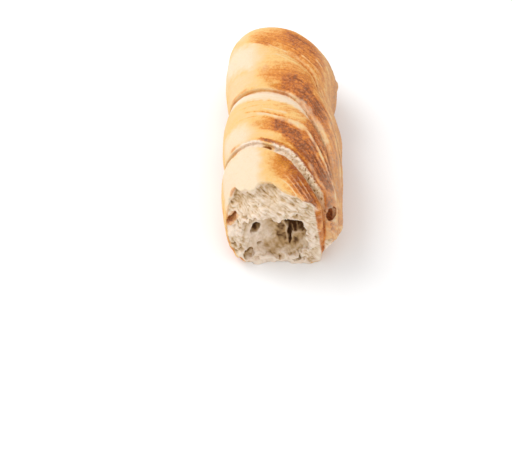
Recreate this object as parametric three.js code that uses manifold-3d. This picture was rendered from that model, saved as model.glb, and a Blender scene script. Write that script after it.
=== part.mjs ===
// One half of a twisted ciabatta, torn across and lying on its flat baked base.
// Millimetres and degrees. The loaf lies along Y: the torn end faces -Y, the round baked end +Y, +Z is up.
// It begins as a straight round stick of dough, a lathe about Y whose rows are the folds of the twist. It is
// then laid down, so that it sags into an oval and its rows wind round it between the seams. Last, its near
// end is torn off, its base is cut flat, and the air holes of the crumb are opened.
import * as THREE from "three";
import { mergeVertices } from "three/addons/utils/BufferGeometryUtils.js";
import Module from "manifold-3d";

// ---- Driving dimensions ----
const LENGTH = 190; // torn end to round end
const HEIGHT = 61;
const MIDDLE_HEIGHT = 27; // widest level of the oval above the base
const BASE_SAG = 3; // how far the underside would bulge if it had not baked flat
const OVAL_POWER = { above: 2.25, below: 2.7 }; // of its middle height: 2 is an ellipse, more is boxier
const TORN_Y = -97; // where the crumb reaches furthest
const END_Y = TORN_Y + LENGTH;
const END_LENGTH = 54; // the stretch over which the baked end rounds off
const END_BLUNTNESS = { across: 2.1, up: 2.4 }; // seen from above, and from the side
// Half the width of the loaf and how far its middle lies to the right, by place along it.
const HALF_WIDTH = [[-97, 36.4], [-75, 37.4], [-45, 39.8], [0, 38.8], [25, 38], [60, 37.8], [93, 37.8]];
const MIDDLE_X = [[-97, -1.2], [-60, -2.3], [0, -1.2], [45, -2], [93, -11]];

// ---- The twist: seams that wind round the loaf, listed from the torn end to the baked end ----
// Each is a line of places along the loaf by angle round it: -90 under the loaf, 0 right, 90 top, 180 left and
// 270 under it again. gape is how wide its open trough is, below the fold above it, and depth is how deep.
const SEAMS = [
  {
    line: [[-90, -130], [-40, -205], [0, -185], [60, -150], [120, -122], [180, -112], [225, -104], [270, -130]],
    gape: [[-90, 1]],
    depth: [[-90, 0]],
  },
  {
    line: [
      [-90, -88], [-40, -150], [0, -124], [40, -92], [57, -81.5], [73, -65.5], [89, -51.5], [101, -46],
      [113, -42], [128, -40.5], [158, -41.5], [178, -38], [225, -22], [270, -88],
    ],
    gape: [[0, 6], [50, 6.5], [80, 5], [100, 3.2], [125, 2], [150, 2.2], [180, 1.5]],
    depth: [[-40, 0], [-5, 5], [45, 6.5], [70, 4.6], [100, 4], [150, 3.2], [200, 2.2], [235, 0]],
  },
  {
    line: [
      [-90, -46], [-40, -136], [0, -108], [28, -73], [38, -52], [48, -35], [63, -17.5], [75, -4.5], [89, 4],
      [105, 8], [124, 10.5], [152, 12], [180, 15], [225, 30], [270, -46],
    ],
    gape: [[0, 3], [50, 4], [75, 4.5], [100, 4], [130, 2.5], [180, 1.5]],
    depth: [[-40, 0], [-10, 2], [60, 2.4], [100, 2.2], [150, 3], [200, 2], [235, 0]],
  },
  {
    line: [
      [-90, -2], [-40, -84], [0, -52], [30, -6], [39, 10.5], [52, 24], [69, 34], [82, 42], [100, 51], [122, 60],
      [150, 68], [180, 73], [225, 76], [270, -2],
    ],
    gape: [[0, 2], [60, 3], [100, 2.5], [150, 1.5]],
    depth: [[-40, 0], [-10, 1.8], [45, 2], [90, 1.5], [120, 0.9], [150, 0.3], [180, 0]],
  },
];
const FOLD_PUFF = 2.6; // how far each fold of dough swells between its seams
const FOLD_CREST = 0.55; // share of that above the oval, the rest being below it at the seams
const END_CREST = 0.3; // the same for the round end, which swells less
const END_SWELLS_BY = 0.3; // share of the way to the tip at which the round end is at its fullest
const FOLD_FULLNESS = 2.4; // 2 swells like an arc, more is fuller towards the seams
const TUCK = 1.2; // how far a seam runs back under the fold above it
const TROUGH_FLOOR = 0.8; // depth just inside the near edge of a trough, as a share of its full depth
const FLAT_FROM = 12; // degrees either side of straight down where the relief of the twist begins
const FLAT_TO = 50; // and where it is whole
const TIP_SMOOTH = 0.6; // share of the full height below which the round end's relief dies away
const WANDER = { by: 0.8, grain: 17 }; // slow unevenness of the whole skin

// ---- The torn end ----
// How far back the torn edge of the crust lies from the nearest crumb, by angle round the loaf.
const TORN_EDGE = [
  [-90, 2], [0, 1], [60, 0], [70, 1], [79, 4], [88, 7.5], [97, 12], [104, 16.5], [112, 17], [121, 14.5],
  [133, 15.5], [141, 20], [149, 24], [157, 20], [166, 14], [180, 9], [200, 4], [225, 2], [270, 2],
];
const CRUMB_FROM = 0.56; // share of the way out to the crust where the tear starts to lean back
const CRUMB = { behind: 1.5, lumps: 1.1, grain: 4.5 }; // how far behind the edge the torn face is, its lumps
const RAGGED = [{ by: 0.9, times: 11, turn: 40 }, { by: 0.7, times: 23, turn: 10 }]; // waves of the torn edge
// On the right the outer fold sags towards the tear: where it starts, how wide its step is, how far back it is
// torn, the share of its height that it loses, and the places along the loaf between which it loses it.
const OUTER_FOLD = { side: 21, step: 3.8, back: 4, sag: 0.55, from: -80, to: -95 };
// Air holes: where each lies, and its half sizes along X, Y and Z.
const HOLES = [
  { at: [-8, -94.5, 24], size: [22, 13.5, 20] },
  { at: [7, -86, 28.5], size: [7.5, 15, 8.5] },
  { at: [3, -89, 37], size: [10, 11, 6] },
  { at: [2.5, -86, 18.5], size: [2.3, 10, 8.5] },
  { at: [-20, -83.5, 24], size: [3.6, 5.5, 4.2] },
  { at: [-34, -84.5, 30], size: [2.8, 7, 6.5] },
  { at: [-24.5, -94, 7.5], size: [4, 6, 4] },
  { at: [12, -94.5, 18], size: [3, 4, 3.5] },
  { at: [-4.5, -96, 5.5], size: [6, 5, 2.2] },
  { at: [7.5, -96, 4.5], size: [3.5, 5, 2] },
  { at: [29, -86, 38.5], size: [3.3, 4.2, 7] },
];
const HOLE_BULGE = { by: 0.16, grain: 0.55 }; // how uneven a hole is, as shares of its size
const SMALL_HOLES = { count: 14, size: [1.2, 2.8], stretch: [1.2, 1.5, 1], within: 0.82, above: 6, sunk: 0.4 };

// ---- How finely the surfaces are divided ----
const AROUND = 84;
// Rows across the crust of a fold, as shares of the way from its near seam, closest at its lip and its edge.
const CRUST_ROWS = [0, 0.03, 0.08, 0.17, 0.29, 0.42, 0.55, 0.68, 0.8, 0.9, 0.97, 1];
const CRUST_SHARE = 0.85; // share of a fold's rows that is crust, and the rest is its trough
const TROUGH_ROWS = [0.2, 0.6];
const END_ROWS = 18;
const TEAR_BLOCK = { wide: 100, high: 84, below: 8, spacing: 3.1 }; // the dough that was torn away
const SAG_BLOCK = { wide: 24, long: 30, high: 80, spacing: 2, clear: 3 }; // the space over the sagging fold
const FLOOR_BLOCK = { wide: 400, high: 40 };

const { smoothstep, lerp, clamp, degToRad, radToDeg } = THREE.MathUtils;

// A smooth curve through a table of [place, value], level beyond both of its ends.
function along(table, place) {
  const last = table.length - 1;
  if (place <= table[0][0]) return table[0][1];
  if (place >= table[last][0]) return table[last][1];
  const i = table.findIndex(([knot]) => knot > place) - 1;
  const [[x0, y0], [x1, y1]] = [table[i], table[i + 1]];
  const before = table[Math.max(0, i - 1)];
  const after = table[Math.min(last, i + 2)];
  const slope0 = ((y1 - before[1]) / (x1 - before[0])) * (x1 - x0);
  const slope1 = ((after[1] - y0) / (after[0] - x0)) * (x1 - x0);
  const t = (place - x0) / (x1 - x0);
  const rise = y1 - y0;
  return y0 + t * (slope0 + t * (3 * rise - 2 * slope0 - slope1 + t * (slope0 + slope1 - 2 * rise)));
}

// A gentle unevenness with no repeat that shows, between about -1 and 1.
function unevenness(x, y, z, grain) {
  const [u, v, w] = [x / grain, y / grain, z / grain];
  return (
    Math.sin(1.7 * u + 1.3 * v + 0.4) * Math.sin(1.1 * v - 1.9 * w + 1.1) * 0.55 +
    Math.sin(2.9 * u - 2.3 * w + 2.0) * Math.sin(2.6 * v + 1.7 * u + 0.3) * 0.3 +
    Math.sin(4.3 * w + 3.1 * v + 4.1) * Math.sin(4.7 * u - 2.2 * v + 5.2) * 0.15
  );
}

// Park and Miller's generator, so that every build draws the same small holes.
function seededRandom(seed) {
  let state = seed;
  return () => {
    state = (state * 16807) % 2147483647;
    return state / 2147483647;
  };
}

// The straight stick: radius 1, closed on the axis at both ends. A row's height is the number of its fold,
// counted from the torn end, plus its share of the way across that fold.
function stickProfile() {
  const rows = [[0, -1], [1, -1]];
  for (let fold = 0; fold < SEAMS.length - 1; fold++) {
    for (const share of CRUST_ROWS) rows.push([1, fold + share * CRUST_SHARE]);
    for (const share of TROUGH_ROWS) rows.push([1, fold + lerp(CRUST_SHARE, 1, share)]);
  }
  for (const share of CRUST_ROWS.slice(0, 4)) rows.push([1, SEAMS.length - 1 + share]);
  const from = CRUST_ROWS[4];
  for (let i = 0; i <= END_ROWS; i++) {
    const share = from + (1 - from) * Math.sin(((i / END_ROWS) * Math.PI) / 2);
    rows.push([i === END_ROWS ? 0 : 1, SEAMS.length - 1 + share]);
  }
  return rows.map(([radius, row]) => new THREE.Vector2(radius, row));
}

// Where a row of the stick comes to lie along the loaf, and how far it stands out or in there.
function wound(row, angle) {
  const fold = Math.min(Math.floor(row + 1e-6), SEAMS.length - 1);
  const share = row - fold;
  if (fold < 0) return { y: -LENGTH, relief: 0 };
  const near = SEAMS[fold];
  const start = along(near.line, angle);
  const nearDepth = along(near.depth, angle);
  const lip = smoothstep(share, 0, CRUST_ROWS[1] * CRUST_SHARE);
  const drop = nearDepth * (1 - lip);
  const tuck = nearDepth > 0 ? Math.min(TUCK, nearDepth) * (1 - lip) : 0;
  if (fold === SEAMS.length - 1) {
    const swell = lerp(FOLD_CREST - 1, END_CREST, smoothstep(share, 0, END_SWELLS_BY));
    return { y: lerp(start, END_Y, share) + tuck, relief: FOLD_PUFF * swell - drop };
  }
  const far = SEAMS[fold + 1];
  const end = along(far.line, angle);
  const gape = Math.min(along(far.gape, angle), (end - start) / 3);
  const crust = clamp(share / CRUST_SHARE, 0, 1);
  const trough = clamp((share - CRUST_SHARE) / (1 - CRUST_SHARE), 0, 1);
  const swell = FOLD_CREST - Math.abs(2 * crust - 1) ** FOLD_FULLNESS;
  const sunk = along(far.depth, angle) * lerp(TROUGH_FLOOR, 1, trough) * smoothstep(trough, 0, TROUGH_ROWS[0]);
  return { y: lerp(start, end - gape, crust) + gape * trough + tuck, relief: FOLD_PUFF * swell - drop - sunk };
}

const halfHeight = (up) => (up > 0 ? HEIGHT - MIDDLE_HEIGHT : MIDDLE_HEIGHT + BASE_SAG);
const power = (up) => (up > 0 ? OVAL_POWER.above : OVAL_POWER.below);
const signedPower = (value, exponent) => Math.sign(value) * Math.abs(value) ** exponent;

// The oval that the loaf has sagged into: how far across and up the crust lies, at an angle round it.
function oval(angle) {
  const [cos, sin] = [Math.cos(degToRad(angle)), Math.sin(degToRad(angle))];
  return [signedPower(cos, 2 / power(sin)), signedPower(sin, 2 / power(sin))];
}

// Lays one point of the straight stick down into the loaf.
function laidDown(point) {
  const radius = Math.hypot(point.x, point.z);
  let angle = radToDeg(Math.atan2(point.z, point.x));
  if (angle < -90) angle += 360;
  const { y, relief } = wound(point.y, angle);
  const intoEnd = clamp((y - END_Y) / END_LENGTH + 1, 0, 1);
  const reach = (bluntness) => radius * (1 - intoEnd ** bluntness) ** (1 / bluntness);
  const [wide, high] = [reach(END_BLUNTNESS.across), reach(END_BLUNTNESS.up)];
  const fromUnder = Math.abs(((angle + 270) % 360) - 180);
  const standing = relief * smoothstep(fromUnder, FLAT_FROM, FLAT_TO) * smoothstep(high, 0, TIP_SMOOTH);
  const [across, up] = oval(angle);
  const wander = WANDER.by * unevenness(across * HEIGHT / 2, y, up * HEIGHT / 2, WANDER.grain);
  return new THREE.Vector3(
    along(MIDDLE_X, y) + across * ((along(HALF_WIDTH, y) + wander) * wide + standing),
    y,
    MIDDLE_HEIGHT + up * ((halfHeight(up) + wander) * high + standing),
  );
}

// Where the torn surface lies along the loaf, over a place in its cross-section.
function tornAt(x, z) {
  const up = (z - MIDDLE_HEIGHT) / halfHeight(z - MIDDLE_HEIGHT);
  const across = (x - MIDDLE_X[0][1]) / HALF_WIDTH[0][1];
  let angle = radToDeg(Math.atan2(signedPower(up, power(up) / 2), signedPower(across, power(up) / 2)));
  if (angle < -90) angle += 360;
  const share = (Math.abs(across) ** power(up) + Math.abs(up) ** power(up)) ** (1 / power(up));
  const waves = RAGGED.map(({ by, times, turn }) => by * Math.sin(degToRad(angle * times + turn)));
  const edge = along(TORN_EDGE, angle) + waves[0] + waves[1];
  const lumps = CRUMB.lumps * unevenness(x, 0, z, CRUMB.grain);
  const main = lerp(CRUMB.behind + lumps, edge, smoothstep(share, CRUMB_FROM, 1));
  const outer = OUTER_FOLD.back + lumps;
  return TORN_Y + lerp(main, outer, smoothstep(x, OUTER_FOLD.side, OUTER_FOLD.side + OUTER_FOLD.step));
}

// Moves every vertex of a geometry by a function of its place.
function reshape(geometry, move) {
  const position = geometry.getAttribute("position");
  for (let i = 0; i < position.count; i++) {
    position.setXYZ(i, ...move(new THREE.Vector3().fromBufferAttribute(position, i)).toArray());
  }
  return geometry;
}

const wasm = await Module();
wasm.setup();

function toSolid(geometry) {
  const bare = geometry.clone();
  for (const name of ["normal", "uv"]) bare.deleteAttribute(name);
  const merged = mergeVertices(bare, 1e-4);
  return new wasm.Manifold(
    new wasm.Mesh({
      numProp: 3,
      vertProperties: Float32Array.from(merged.getAttribute("position").array),
      triVerts: Uint32Array.from(merged.index.array),
    }),
  );
}

function toGeometry(solid) {
  const mesh = solid.getMesh();
  const geometry = new THREE.BufferGeometry();
  geometry.setAttribute("position", new THREE.BufferAttribute(Float32Array.from(mesh.vertProperties), 3));
  geometry.setIndex(new THREE.BufferAttribute(Uint32Array.from(mesh.triVerts), 1));
  geometry.computeVertexNormals();
  return geometry;
}

// The part of the dough that was torn away: a block whose far face is the torn surface.
function tornAway() {
  const { wide, high, below, spacing } = TEAR_BLOCK;
  const [columns, levels] = [Math.round(wide / spacing), Math.round(high / spacing)];
  const block = new THREE.BoxGeometry(wide, 2 * LENGTH, high, columns, 1, levels);
  block.translate(0, 0, high / 2 - below);
  return toSolid(reshape(block, (p) => p.setY(p.y > 0 ? tornAt(p.x, p.z) : p.y)));
}

// The space over the outer fold as it sags towards the tear: a block whose underside is the fold's new skin.
function aboveOuterFold() {
  const { side, step, sag, from, to } = OUTER_FOLD;
  const { wide, long, high, spacing, clear } = SAG_BLOCK;
  const [columns, rows] = [Math.round(wide / spacing), Math.round(long / spacing)];
  const block = new THREE.BoxGeometry(wide, long, high, columns, rows, 1);
  block.translate(side + wide / 2, from + clear - long / 2, high / 2);
  const skin = ({ x, y }) => {
    const across = Math.min(Math.abs(x - MIDDLE_X[0][1]) / HALF_WIDTH[0][1], 1);
    const crest = MIDDLE_HEIGHT + halfHeight(1) * (1 - across ** OVAL_POWER.above) ** (1 / OVAL_POWER.above);
    const sagged = smoothstep(x, side, side + step) * (1 - smoothstep(y, to, from));
    return crest * (1 - sag * sagged) + clear * (1 - sagged);
  };
  return toSolid(reshape(block, (p) => p.setZ(p.z > 0 ? p.z : skin(p))));
}

// An uneven round air hole.
function hole({ at, size }, detail) {
  const geometry = new THREE.IcosahedronGeometry(1, detail);
  reshape(geometry, (p) => {
    const { by, grain } = HOLE_BULGE;
    const bulge = 1 + by * unevenness(p.x + grain * at[0], p.y + grain * at[1], p.z + grain * at[2], grain);
    return p.multiplyScalar(bulge).multiply(new THREE.Vector3(...size)).add(new THREE.Vector3(...at));
  });
  return toSolid(geometry);
}

// Small holes in the torn crumb, scattered between the large ones.
function smallHoles() {
  const random = seededRandom(41);
  const holes = [];
  while (holes.length < SMALL_HOLES.count) {
    const [angle, share] = [random() * 360, Math.sqrt(random()) * SMALL_HOLES.within];
    const [across, up] = oval(angle);
    const x = across * share * HALF_WIDTH[0][1];
    const z = MIDDLE_HEIGHT + up * share * halfHeight(up);
    const half = lerp(...SMALL_HOLES.size, random() ** 2);
    const size = SMALL_HOLES.stretch.map((stretch) => half * stretch);
    if (z > SMALL_HOLES.above) holes.push({ at: [x, tornAt(x, z) + SMALL_HOLES.sunk, z], size });
  }
  return holes;
}

function loafSolid() {
  let loaf = toSolid(reshape(new THREE.LatheGeometry(stickProfile(), AROUND), laidDown));
  loaf = loaf.subtract(tornAway()).subtract(aboveOuterFold());
  const { wide, high } = FLOOR_BLOCK;
  loaf = loaf.subtract(toSolid(new THREE.BoxGeometry(wide, 4 * LENGTH, high).translate(0, 0, -high / 2)));
  for (const big of HOLES) loaf = loaf.subtract(hole(big, 2));
  for (const small of smallHoles()) loaf = loaf.subtract(hole(small, 1));
  // A flake that the holes have cut free is not kept.
  const pieces = loaf.decompose();
  return pieces.reduce((largest, piece) => (piece.volume() > largest.volume() ? piece : largest));
}

const ciabatta = new THREE.Mesh(
  toGeometry(loafSolid()),
  new THREE.MeshStandardMaterial({ color: 0xd9a066, roughness: 0.75, metalness: 0 }),
);
ciabatta.name = "ciabatta";

const model = new THREE.Group();
model.add(ciabatta);
// The frame's origin is under the middle of the loaf, on the floor.
ciabatta.geometry.computeBoundingBox();
const middle = ciabatta.geometry.boundingBox.getCenter(new THREE.Vector3());
ciabatta.geometry.translate(-middle.x, -middle.y, 0);

export default model;
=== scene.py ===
"""Half of a twisted ciabatta, torn across, with its floury crust and open crumb.

Sizes of the form are in millimetres and angles in degrees, as in the part's own source. Blender's sizes
are in metres. The loaf lies along Y: the torn end faces -Y, the round baked end +Y, and +Z is up.
An angle round the loaf is -90 underneath, 0 on the right, 90 on top, 180 on the left and 270 underneath.
"""

import itertools
import math

import bpy
import numpy as np
from bpy.props import FloatProperty, FloatVectorProperty, IntProperty, PointerProperty
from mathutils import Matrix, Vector
from mathutils.bvhtree import BVHTree


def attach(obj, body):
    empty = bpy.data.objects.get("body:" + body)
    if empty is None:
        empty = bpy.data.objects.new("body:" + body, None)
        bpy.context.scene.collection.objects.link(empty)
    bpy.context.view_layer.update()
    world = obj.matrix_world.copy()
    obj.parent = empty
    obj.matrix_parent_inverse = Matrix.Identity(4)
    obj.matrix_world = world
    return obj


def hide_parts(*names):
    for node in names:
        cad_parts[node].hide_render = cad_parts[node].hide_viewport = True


bl_info = {
    "name": "Torn ciabatta",
    "version": (1, 0, 0),
    "blender": (4, 5, 0),
    "location": "3D View > Sidebar > Ciabatta",
    "description": "Builds half of a twisted ciabatta with its crust and crumb",
    "category": "Add Mesh",
}

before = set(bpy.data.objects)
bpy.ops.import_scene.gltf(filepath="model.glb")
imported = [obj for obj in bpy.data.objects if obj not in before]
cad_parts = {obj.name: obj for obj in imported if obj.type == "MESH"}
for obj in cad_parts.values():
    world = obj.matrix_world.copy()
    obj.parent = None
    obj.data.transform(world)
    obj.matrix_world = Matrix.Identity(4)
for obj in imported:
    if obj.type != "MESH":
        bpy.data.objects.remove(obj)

MM = 0.001
NODE = "ciabatta"

# ---- The form of the loaf, as its solid has it ----
LENGTH = 190.0
HEIGHT = 61.0
MIDDLE_HEIGHT = 27.0
BASE_SAG = 3.0
OVAL_ABOVE, OVAL_BELOW = 2.25, 2.7
TORN_Y = -97.0
END_Y = TORN_Y + LENGTH
END_LENGTH = 54.0
BLUNT_ACROSS, BLUNT_UP = 2.1, 2.4
HALF_WIDTH = [(-97, 36.4), (-75, 37.4), (-45, 39.8), (0, 38.8), (25, 38), (60, 37.8), (93, 37.8)]
MIDDLE_X = [(-97, -1.2), (-60, -2.3), (0, -1.2), (45, -2), (93, -11)]
# The seams of the twist, from the torn end to the baked end: where each lies by angle round the loaf, how
# wide its open trough is and how deep.
SEAMS = [
    {
        "line": [
            (-90, -130), (-40, -205), (0, -185), (60, -150), (120, -122), (180, -112), (225, -104),
            (270, -130),
        ],
        "gape": [(-90, 1)],
        "depth": [(-90, 0)],
    },
    {
        "line": [
            (-90, -88), (-40, -150), (0, -124), (40, -92), (57, -81.5), (73, -65.5), (89, -51.5), (101, -46),
            (113, -42), (128, -40.5), (158, -41.5), (178, -38), (225, -22), (270, -88),
        ],
        "gape": [(0, 6), (50, 6.5), (80, 5), (100, 3.2), (125, 2), (150, 2.2), (180, 1.5)],
        "depth": [
            (-40, 0), (-5, 5), (40, 6), (55, 4.2), (75, 3), (95, 2.6), (112, 1.8), (150, 1.8), (200, 2),
            (235, 0),
        ],
    },
    {
        "line": [
            (-90, -46), (-40, -136), (0, -108), (28, -73), (38, -52), (48, -35), (63, -17.5), (75, -4.5),
            (89, 4), (105, 8), (124, 10.5), (152, 12), (180, 15), (225, 30), (270, -46),
        ],
        "gape": [(0, 3), (50, 4), (75, 4.5), (100, 4), (130, 2.5), (180, 1.5)],
        "depth": [(-40, 0), (-10, 2), (60, 2.4), (100, 2.2), (150, 3), (200, 2), (235, 0)],
    },
    {
        "line": [
            (-90, -2), (-40, -84), (0, -52), (30, -6), (39, 10.5), (52, 24), (69, 34), (82, 42), (100, 51),
            (122, 60), (150, 68), (180, 73), (225, 76), (270, -2),
        ],
        "gape": [(0, 2), (60, 3), (100, 2.5), (150, 1.5)],
        "depth": [(-40, 0), (-10, 1.8), (45, 1.8), (75, 1.2), (95, 0.5), (112, 0.1), (125, 0)],
    },
]
LAST_FOLD = len(SEAMS) - 1
FOLD_PUFF = 2.6
FOLD_CREST, END_CREST, END_SWELLS_BY = 0.55, 0.3, 0.3
FOLD_FULLNESS = 2.4
# The seam nearest the round end leaves no crease on top and on the left: where it fades out and comes back.
LAST_SEAM_FADES, LAST_SEAM_RETURNS = (70.0, 105.0), (190.0, 215.0)
TUCK = 1.2
LIP = 0.0255  # share of a fold over which its near edge rises out of the seam
CRUST_SHARE = 0.85
TROUGH_FLOOR, TROUGH_RISE = 0.8, 0.2
FLAT_FROM, FLAT_TO = 12.0, 50.0
TIP_SMOOTH = 0.6
WANDER_BY, WANDER_GRAIN = 0.8, 17.0

# The right side draws in at a waist: how deep, and from where to where along the loaf it deepens and fades.
WAIST_DEPTH, WAIST_FROM, WAIST_DEEPEST, WAIST_TO = 4.6, -14.0, 15.0, 40.0
# A flake of crust stands out above it: where it is, its half sizes and how far it stands out.
FLAKE_AT, FLAKE_SIZE, FLAKE_HEIGHT = (35.0, 36.5, 36.0), (6.0, 6.0, 4.0), 1.2

# The torn end: how far back the torn edge of the crust lies, by angle, and the leaning face between.
TORN_EDGE = [
    (-90, 2), (0, 1), (60, 0), (70, 1), (79, 4), (88, 7.5), (97, 12), (104, 16.5), (112, 17), (121, 14.5),
    (133, 15.5), (141, 20), (149, 24), (157, 20), (166, 14), (180, 9), (200, 4), (225, 2), (270, 2),
]
CRUMB_FROM = 0.56
CRUMB_BEHIND, CRUMB_LUMPS, CRUMB_GRAIN = 1.5, 1.1, 4.5
RAGGED = [(0.9, 11, 40), (0.7, 23, 10)]
# The outer fold, on the right, sinks towards the tear and bares the side of the near fold.
OUTER_SIDE, OUTER_STEP, OUTER_BACK = 21.0, 3.8, 4.0
OUTER_SINKS, SINKS_FROM, SINKS_TO = 0.55, -80.0, -95.0
# Low down at its outer corner it is torn off further back, past a slanting line.
OUTER_UNDERCUT, UNDERCUT_SLOPE, UNDERCUT_FROM = 12.0, 1.5, (26.0, 34.0)
# The large air holes of the crumb: where each lies and its half sizes.
HOLES = [
    ((-8, -94.5, 24), (22, 13.5, 20)),
    ((7, -86, 28.5), (7.5, 15, 8.5)),
    ((3, -89, 37), (10, 11, 6)),
    ((2.3, -86, 18.5), (1.7, 9, 8.5)),
    ((-20.3, -83.5, 23), (3.6, 5.5, 3.7)),
    ((-35.3, -85, 33), (4.6, 7, 2)),
    ((-24.5, -94, 7.5), (4, 6, 4)),
    ((12, -94.5, 18), (3, 4, 3.5)),
    ((-4.5, -96, 5.5), (6, 5, 2.2)),
    ((7.5, -96, 4.5), (3.5, 5, 2)),
    ((28.5, -86, 38), (3.3, 4.2, 5.8)),
]
HOLE_BULGE, HOLE_GRAIN = 0.16, 0.55
HOLE_LEANS = {5: -0.85, 10: 0.3}  # how far the long ones lean, in radians, by their number
# A hole that joins the crevice to the pocket: where it is and its half sizes.
POCKET_JOIN = ((4.5, -86, 27), (5.5, 14, 9))
# A slit in the smooth floor of the hollow: where it is and its half sizes.
FLOOR_SLIT = ((-17.6, -86.4, 10.6), (1.9, 2, 1))
# Small holes in the seam nearest the tear.
SEAM_HOLES = [
    ((-12.6, -46.6, 55.4), (5.6, 3, 2.4)),
    ((-33.2, -42.6, 47.2), (2.6, 1.5, 1.8)),
]
# Holes whose skin browned in the oven: where each lies, its half sizes, its lean and how brown it is.
BROWNED_HOLES = [
    (*HOLES[5], HOLE_LEANS[5], 0.3),
    (*HOLES[10], HOLE_LEANS[10], 0.9),
    (*SEAM_HOLES[0], 0, 0.15),
    (*SEAM_HOLES[1], 0, 0.5),
]
# The parts of the torn hollow that lie in deep shade.
SHADED = [
    ((6, -86, 27), (9, 15, 9.5), 0.5),
    ((2.5, -86, 18.5), (3.6, 11, 10), 0.28),
    ((2, -88, 37), (9, 12, 5.5), 0.3),
    ((1.5, -83, 20), (9, 8, 17), 0.38),
    ((-20, -81, 23), (4, 6, 4.6), 0.28),
    ((-35, -88, 12), (7, 8, 7), 0.25),
]
# Painted light on its crumb: the lump at the left, the skin in the middle and the wall on the right.
LIT = [
    ((-36, -88, 26.5), (5.5, 8, 5), 0.55),
    ((-18, -84, 18), (13, 8, 12), 0.22),
    ((-18, -93, 5), (9, 6, 5), 0.25),
    ((16, -90, 25), (4, 8, 18), 0.15),
]
# Brown spots on the crust: where, half sizes and strength.
SPOTS = [
    ((-32.8, -76.3, 46.5), (4.8, 5, 4.6), 0.45),
    ((-11, 74.3, 48), (4, 2, 2), 0.6),
    ((-37, -84, 36), (3, 7, 7), 0.3),
]


# ---- Curves, noise and the form's own functions, over whole arrays of places ----
def along(table, place):
    """A smooth curve through a table of (place, value), level beyond both of its ends."""
    knots, values = np.array(table, float).T
    place = np.asarray(place, float)
    if len(knots) == 1:
        return np.full(place.shape, values[0])
    place = np.clip(place, knots[0], knots[-1])
    i = np.clip(np.searchsorted(knots, place, side="right") - 1, 0, len(knots) - 2)
    before, after = np.maximum(i - 1, 0), np.minimum(i + 2, len(knots) - 1)
    width = knots[i + 1] - knots[i]
    slope0 = (values[i + 1] - values[before]) / (knots[i + 1] - knots[before]) * width
    slope1 = (values[after] - values[i]) / (knots[after] - knots[i]) * width
    t, rise = (place - knots[i]) / width, values[i + 1] - values[i]
    return values[i] + t * (slope0 + t * (3 * rise - 2 * slope0 - slope1 + t * (slope0 + slope1 - 2 * rise)))


def ease(value, low, high):
    """0 below low, 1 above high, and smooth between them."""
    t = np.clip((np.asarray(value, float) - low) / (high - low), 0, 1)
    return t * t * (3 - 2 * t)


def mix(a, b, share):
    return a + (b - a) * share


def unevenness(x, y, z, grain):
    """The gentle unevenness that the solid has, between about -1 and 1."""
    u, v, w = x / grain, y / grain, z / grain
    return (
        np.sin(1.7 * u + 1.3 * v + 0.4) * np.sin(1.1 * v - 1.9 * w + 1.1) * 0.55
        + np.sin(2.9 * u - 2.3 * w + 2.0) * np.sin(2.6 * v + 1.7 * u + 0.3) * 0.3
        + np.sin(4.3 * w + 3.1 * v + 4.1) * np.sin(4.7 * u - 2.2 * v + 5.2) * 0.15
    )


scatter = np.random.RandomState(5)
SHUFFLE = scatter.permutation(256)
GRADIENTS = scatter.normal(size=(256, 3))
GRADIENTS /= np.linalg.norm(GRADIENTS, axis=1)[:, None]


def scattered(i, j, k):
    """The same number from 0 to 255 every time for a cell of space, and unlike its neighbours'."""
    return SHUFFLE[(SHUFFLE[(SHUFFLE[i & 255] + j) & 255] + k) & 255]


def noise(places, grain, seed=0):
    """Perlin's noise, about -1 to 1. Grain is the size of its lumps, as one number or one for each axis."""
    places = (np.asarray(places, float) / np.asarray(grain, float) + seed * 17.31).T
    cell = np.floor(places).astype(int)
    inside = places - cell
    fade = inside**3 * (inside * (inside * 6 - 15) + 10)
    total = 0
    for corner in itertools.product((0, 1), repeat=3):
        slope = GRADIENTS[scattered(*(c + step for c, step in zip(cell, corner)))].T
        weight, rise = 1, 0
        for axis, step in enumerate(corner):
            weight = weight * (fade[axis] if step else 1 - fade[axis])
            rise = rise + (inside[axis] - step) * slope[axis]
        total = total + weight * rise
    return total * 1.6


def fractal(places, grain, seed=0, octaves=3):
    """Noise with finer and weaker noise on it."""
    grain = np.asarray(grain, float)
    return sum(noise(places, grain / 2**i, seed + i) / 2**i for i in range(octaves)) / 1.5


def cells(places, grain, seed=0):
    """How far each place is from the nearest of many scattered points, as a share of their spacing."""
    places = np.asarray(places, float) / np.asarray(grain, float) + seed * 9.7
    cell = np.floor(places).astype(int)
    nearest = np.full(len(places), 9.0)
    for step in itertools.product((-1, 0, 1), repeat=3):
        at = cell + step
        point = at + 0.5 + 0.45 * GRADIENTS[scattered(*at.T)]
        nearest = np.minimum(nearest, ((places - point) ** 2).sum(1))
    return np.sqrt(nearest)


def oval_power(up):
    return np.where(up > 0, OVAL_ABOVE, OVAL_BELOW)


def half_height(up):
    return np.where(up > 0, HEIGHT - MIDDLE_HEIGHT, MIDDLE_HEIGHT + BASE_SAG)


def signed_power(value, exponent):
    return np.sign(value) * np.abs(value) ** exponent


def end_reach(y, bluntness):
    """How much of its full size the loaf has at y, less towards the tip of the round end."""
    into_end = np.clip((y - END_Y) / END_LENGTH + 1, 0, 1)
    return (1 - into_end**bluntness) ** (1 / bluntness)


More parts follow.
